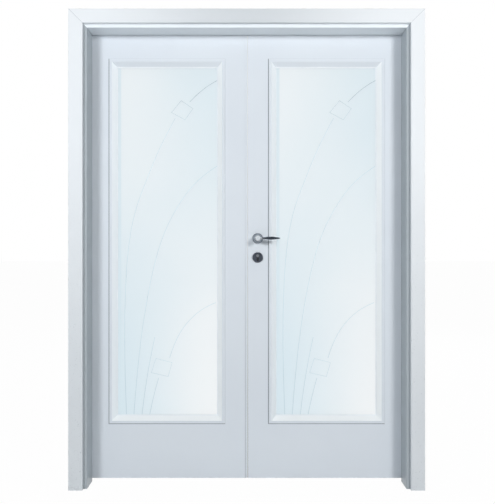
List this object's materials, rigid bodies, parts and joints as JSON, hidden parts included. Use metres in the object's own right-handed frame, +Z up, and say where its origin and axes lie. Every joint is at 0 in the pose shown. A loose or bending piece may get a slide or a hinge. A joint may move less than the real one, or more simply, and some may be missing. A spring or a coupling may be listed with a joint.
{
  "type": "double door",
  "caption": "Glazed double door in a lined and cased frame: a passive leaf and an active leaf with a lever handle and key lock swing away from the stop.",
  "frame": {"origin": "middle of the wall opening at floor level, on the wall's mid-plane", "axes": "+X to the right as seen from the pictured side, +Y through the wall away from that side, +Z up"},
  "size_m": [1.572, 0.198, 2.117],
  "materials": {
    "white_lacquer": "satin white lacquer",
    "etched_glass": "satin etched glass with fine line ornament",
    "glazing_tape": "pale foam tape",
    "setting_block": "moulded plastic",
    "white_seal": "pale soft gasket",
    "hinge_steel": "satin plated steel",
    "polished_chrome": "polished chrome",
    "nickelled_brass": "matt nickel plate",
    "lock_steel": "brushed stainless steel"
  },
  "bodies": {
    "frame": {"jamb_left": "white_lacquer", "jamb_right": "white_lacquer", "head_lining": "white_lacquer", "head_keep": "lock_steel", "front_casing_left": "white_lacquer", "rear_casing_left": "white_lacquer", "seal_left": "white_seal", "front_casing_right": "white_lacquer", "rear_casing_right": "white_lacquer", "seal_right": "white_seal", "front_casing_head": "white_lacquer", "rear_casing_head": "white_lacquer", "seal_head": "white_seal", "hinge_frame_halves_left": "hinge_steel", "hinge_pins_left": "hinge_steel", "hinge_frame_halves_right": "hinge_steel", "hinge_pins_right": "hinge_steel"},
    "passive_leaf": {"passive_panel": "white_lacquer", "passive_glass": "etched_glass", "passive_glazing_tapes": "glazing_tape", "passive_setting_blocks": "setting_block", "passive_front_bead_stiles": "white_lacquer", "passive_front_bead_rails": "white_lacquer", "passive_rear_bead_stiles": "white_lacquer", "passive_rear_bead_rails": "white_lacquer", "hinge_leaf_halves_left": "hinge_steel", "meeting_strip": "white_lacquer", "meeting_seal": "white_seal", "strike_plate": "lock_steel", "top_bolt_housing": "lock_steel", "bottom_bolt_housing": "lock_steel"},
    "active_leaf": {"active_panel": "white_lacquer", "active_glass": "etched_glass", "active_glazing_tapes": "glazing_tape", "active_setting_blocks": "setting_block", "active_front_bead_stiles": "white_lacquer", "active_front_bead_rails": "white_lacquer", "active_rear_bead_stiles": "white_lacquer", "active_rear_bead_rails": "white_lacquer", "hinge_leaf_halves_right": "hinge_steel", "lock_case": "lock_steel", "lock_forend": "lock_steel", "front_rosette": "polished_chrome", "rear_rosette": "polished_chrome", "front_escutcheon": "polished_chrome", "rear_escutcheon": "polished_chrome", "key_cylinder": "nickelled_brass"},
    "lever": {"front_lever": "polished_chrome", "rear_lever": "polished_chrome", "handle_spindle": "lock_steel", "lock_follower": "lock_steel"},
    "latch": {"latch_bolt": "lock_steel"},
    "dead_bolt": {"dead_bolt": "lock_steel"},
    "key_plug": {"cylinder_plug": "nickelled_brass", "cylinder_cam": "nickelled_brass"},
    "top_bolt": {"top_bolt": "lock_steel"},
    "bottom_bolt": {"bottom_bolt": "lock_steel"}
  },
  "joints": [
    {"name": "active_leaf_swing", "type": "hinge", "parent": "frame", "child": "active_leaf", "pos_m": [0.7145, 0.07, 0], "axis": [0, 0, -1], "range_deg": [0, 165]},
    {"name": "passive_leaf_swing", "type": "hinge", "parent": "frame", "child": "passive_leaf", "pos_m": [-0.7145, 0.07, 0], "axis": [0, 0, 1], "range_deg": [0, 165]},
    {"name": "lever_turn", "type": "hinge", "parent": "active_leaf", "child": "lever", "pos_m": [0.05, 0.0425, 1.108], "axis": [0, 1, 0], "range_deg": [0, 45], "stiffness_Nm_per_rad": 1.5, "springref_deg": -22.92},
    {"name": "latch_throw", "type": "slide", "parent": "active_leaf", "child": "latch", "axis": [-1, 0, 0], "range_m": [0, 0.012], "stiffness_N_per_m": 60, "springref_m": -0.004},
    {"name": "key_turn", "type": "hinge", "parent": "active_leaf", "child": "key_plug", "pos_m": [0.05, 0.0425, 1.029], "axis": [0, 1, 0], "range_deg": [0, 360]},
    {"name": "dead_bolt_throw", "type": "slide", "parent": "active_leaf", "child": "dead_bolt", "axis": [-1, 0, 0], "range_m": [0, 0.02]},
    {"name": "top_bolt_throw", "type": "slide", "parent": "passive_leaf", "child": "top_bolt", "axis": [0, 0, 1], "range_m": [0, 0.02]},
    {"name": "bottom_bolt_throw", "type": "slide", "parent": "passive_leaf", "child": "bottom_bolt", "axis": [0, 0, -1], "range_m": [0, 0.02]}
  ],
  "couplings": [
    {"joint": "key_turn", "follows": "dead_bolt_throw", "rad_per_m": 314.16}
  ]
}
